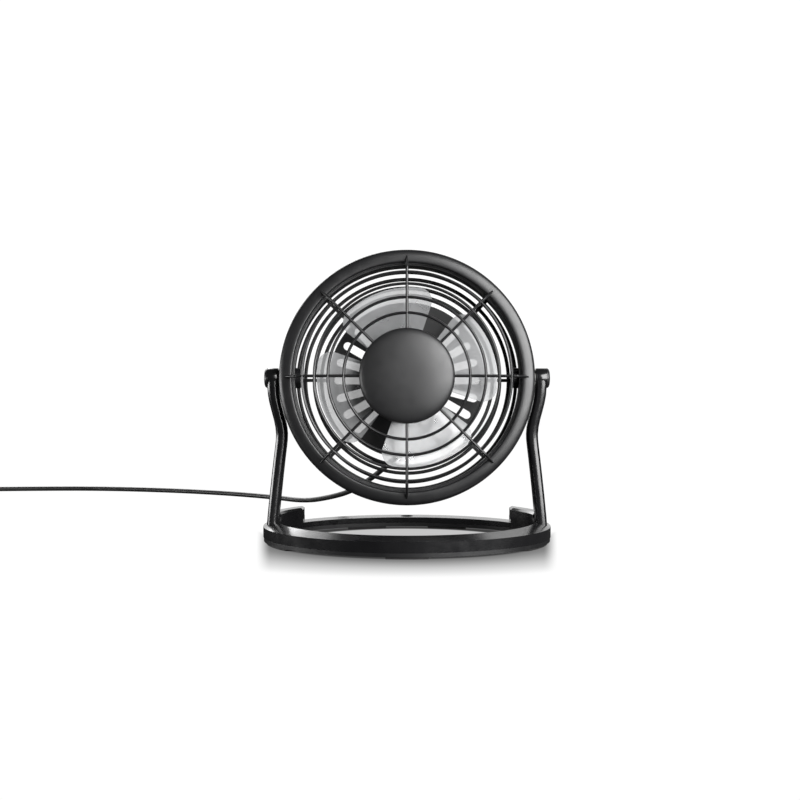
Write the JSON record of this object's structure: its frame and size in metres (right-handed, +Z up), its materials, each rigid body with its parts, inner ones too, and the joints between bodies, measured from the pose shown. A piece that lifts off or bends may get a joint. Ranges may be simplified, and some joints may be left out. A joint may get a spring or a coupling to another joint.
{
  "type": "desk fan",
  "caption": "Small USB desk fan: round grilled head with four smoky blades, tilting between two arms on an oval ring base, with cord and plug.",
  "frame": {"origin": "on the desk surface, under the middle of the base ring", "axes": "+Z up, +X to the right of a person facing the fan's front, +Y from the front to the back"},
  "size_m": [0.4069, 0.308, 0.1492],
  "materials": {
    "black_satin": "satin",
    "black_gloss": "gloss",
    "smoke_blade": "gloss",
    "rubber": "matte",
    "cord_jacket": "satin",
    "zinc_steel": "satin",
    "plated_steel": "polished",
    "bronze": "satin",
    "gold_contact": "polished",
    "ferrite": "matte",
    "copper_wire": "satin",
    "white_nylon": "satin",
    "red_lead": "satin"
  },
  "bodies": {
    "stand": {"base_ring": "black_gloss", "base_plate": "black_satin", "base_screws": "zinc_steel", "arm_screws": "zinc_steel", "rubber_pads": "rubber", "right_arm": "black_gloss", "left_arm": "black_gloss", "pivot_caps": "black_gloss", "cord_tube": "cord_jacket", "cord_coil": "cord_jacket", "cord_tie": "rubber", "cord_tail": "cord_jacket", "plug_body": "black_satin", "plug_relief": "black_satin", "plug_shell": "plated_steel", "plug_tongue": "white_nylon", "plug_contacts": "gold_contact"},
    "head": {"bezel": "black_satin", "front_grille": "black_satin", "centre_cap": "black_satin", "barrel": "black_satin", "rear_grille": "black_satin", "pivot_screws": "zinc_steel", "pivot_washers": "white_nylon", "motor_can": "zinc_steel", "motor_end_bell": "white_nylon", "magnets": "ferrite", "front_bush": "bronze", "rear_bush": "bronze", "brushes": "bronze", "motor_terminals": "bronze", "motor_screws": "zinc_steel", "rear_cover": "black_satin", "cover_screws": "zinc_steel", "switch_body": "black_satin", "switch_terminals": "plated_steel", "motor_lead": "red_lead", "return_lead": "rubber", "supply_lead": "red_lead", "strain_relief": "rubber"},
    "rotor": {"impeller": "smoke_blade", "shaft": "plated_steel", "armature_core": "zinc_steel", "windings": "copper_wire", "commutator": "copper_wire"},
    "rocker": {"rocker": "black_gloss"}
  },
  "joints": [
    {"name": "head_tilt", "type": "hinge", "parent": "stand", "child": "head", "pos_m": [0, 0, 0.084], "axis": [1, 0, 0], "range_deg": [-84, 96], "deforming": ["cord_tube"]},
    {"name": "fan_spin", "type": "hinge", "parent": "head", "child": "rotor", "pos_m": [0, 0, 0.084], "axis": [0, 0.9945, -0.1045], "continuous": true},
    {"name": "switch_rock", "type": "hinge", "parent": "head", "child": "rocker", "pos_m": [0, 0.03799, 0.08001], "axis": [1, 0, 0], "range_deg": [0, 14]}
  ]
}
